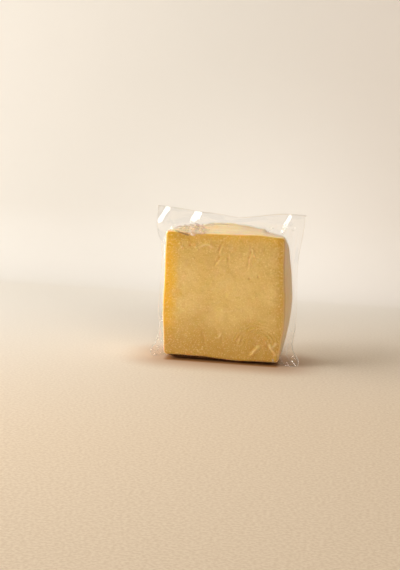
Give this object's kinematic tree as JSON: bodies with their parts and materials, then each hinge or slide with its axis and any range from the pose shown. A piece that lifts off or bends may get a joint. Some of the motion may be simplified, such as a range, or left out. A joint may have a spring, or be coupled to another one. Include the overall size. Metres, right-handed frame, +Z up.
{
  "type": "vacuum-packed kashkaval cheese block",
  "caption": "Upright block of golden kashkaval cheese sealed in a clear vacuum pouch, with a loose film margin above and beside it, for fridges, counters and kitchen scenes.",
  "frame": {"origin": "middle of the flat base, where the folded bottom margin of the pouch meets the table", "axes": "+Z up, the flat cut face looks along -Y and the rounded rind side along +Y"},
  "size_m": [0.1592, 0.068, 0.156],
  "materials": {
    "packed_cheese": "golden hard cheese under clear gloss film",
    "cheese": "smooth, slightly waxy cut cheese",
    "film": "thin clear gloss pouch film"
  },
  "bodies": {
    "root": {"cheese_pack": "packed_cheese"}
  },
  "joints": []
}
